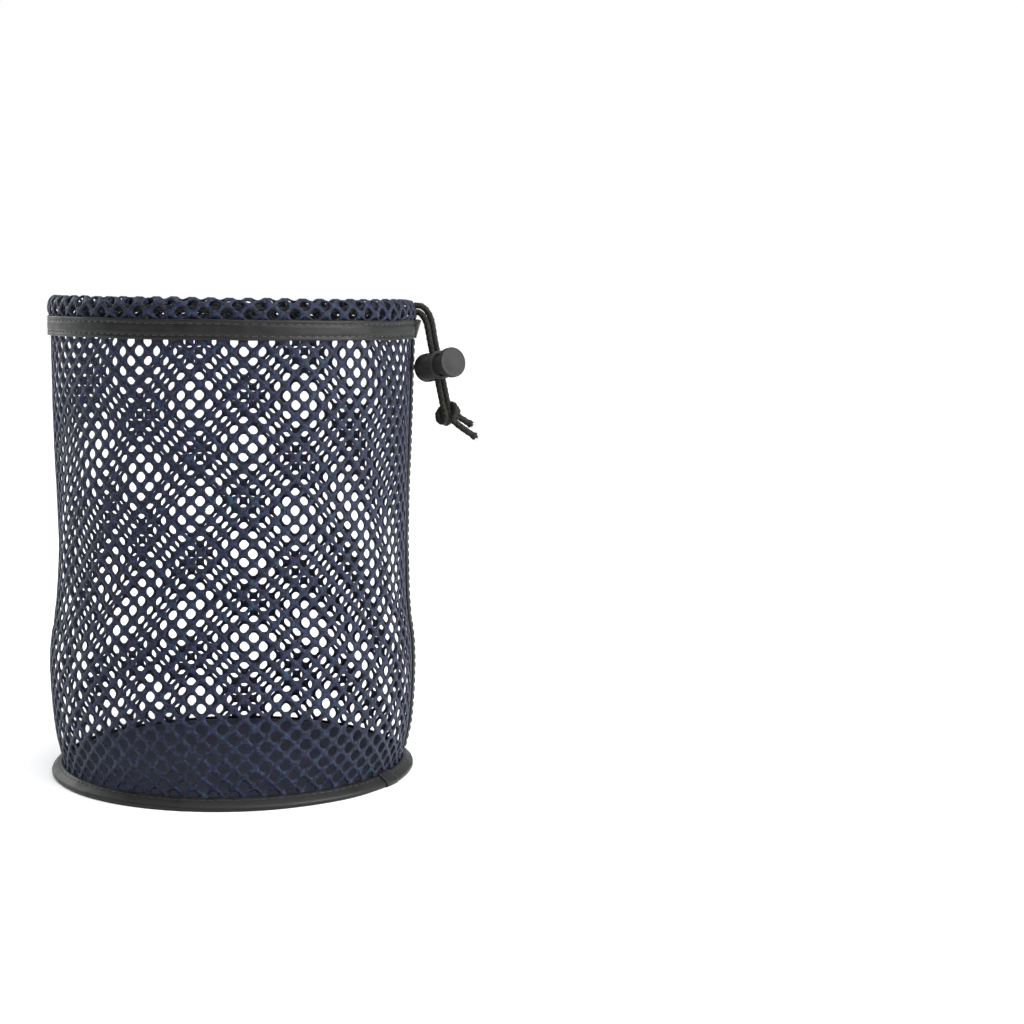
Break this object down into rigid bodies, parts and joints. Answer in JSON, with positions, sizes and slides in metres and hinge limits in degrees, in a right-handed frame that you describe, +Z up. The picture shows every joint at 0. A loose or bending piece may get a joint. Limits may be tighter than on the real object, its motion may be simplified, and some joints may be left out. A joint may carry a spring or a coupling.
{
  "type": "mesh ball bag",
  "caption": "Drawstring bag of knitted mesh on a round fabric base, with a taped rim, a cord channel and a spring cord lock; it stands open and holds balls.",
  "frame": {"origin": "on the floor at the middle of the bag's base", "axes": "+Z up the bag's axis, +X towards the side seam where the cord leaves its channel"},
  "size_m": [0.1587, 0.136, 0.177],
  "materials": {
    "mesh": "navy knitted mesh",
    "base_fabric": "deep navy woven",
    "binding": "charcoal ribbon",
    "thread": "black thread",
    "cord": "black braid",
    "lock_plastic": "satin moulded",
    "spring_steel": "bright wire"
  },
  "bodies": {
    "base": {"base_disc": "base_fabric", "base_binding": "binding", "base_stitching": "thread", "mesh_wall": "mesh", "seam_binding": "binding", "seam_stitching": "thread"},
    "rim": {"rim_tape": "binding", "rim_stitching_upper": "thread", "rim_stitching_lower": "thread", "mesh_casing": "mesh", "drawcord_loop": "cord", "cord_end_outer": "cord", "cord_end_inner": "cord", "cord_knot": "cord", "cord_tail_long": "cord", "cord_tail_short": "cord"},
    "lock": {"lock_barrel": "lock_plastic", "lock_spring": "spring_steel"},
    "button": {"lock_plunger": "lock_plastic"}
  },
  "joints": [
    {"name": "rim_drop", "type": "slide", "parent": "base", "child": "rim", "axis": [0, 0, -1], "range_m": [0, 0.115], "deforming": ["mesh_wall", "seam_binding", "seam_stitching"]},
    {"name": "lock_slide", "type": "slide", "parent": "rim", "child": "lock", "axis": [0.2025, -0.0752, -0.9764], "range_m": [-0.0025, 0.008]},
    {"name": "button_press", "type": "slide", "parent": "lock", "child": "button", "axis": [-0.4871, 0.8572, -0.167], "range_m": [0, 0.0032], "stiffness_N_per_m": 700, "springref_m": -0.003, "deforming": ["lock_spring"]}
  ]
}
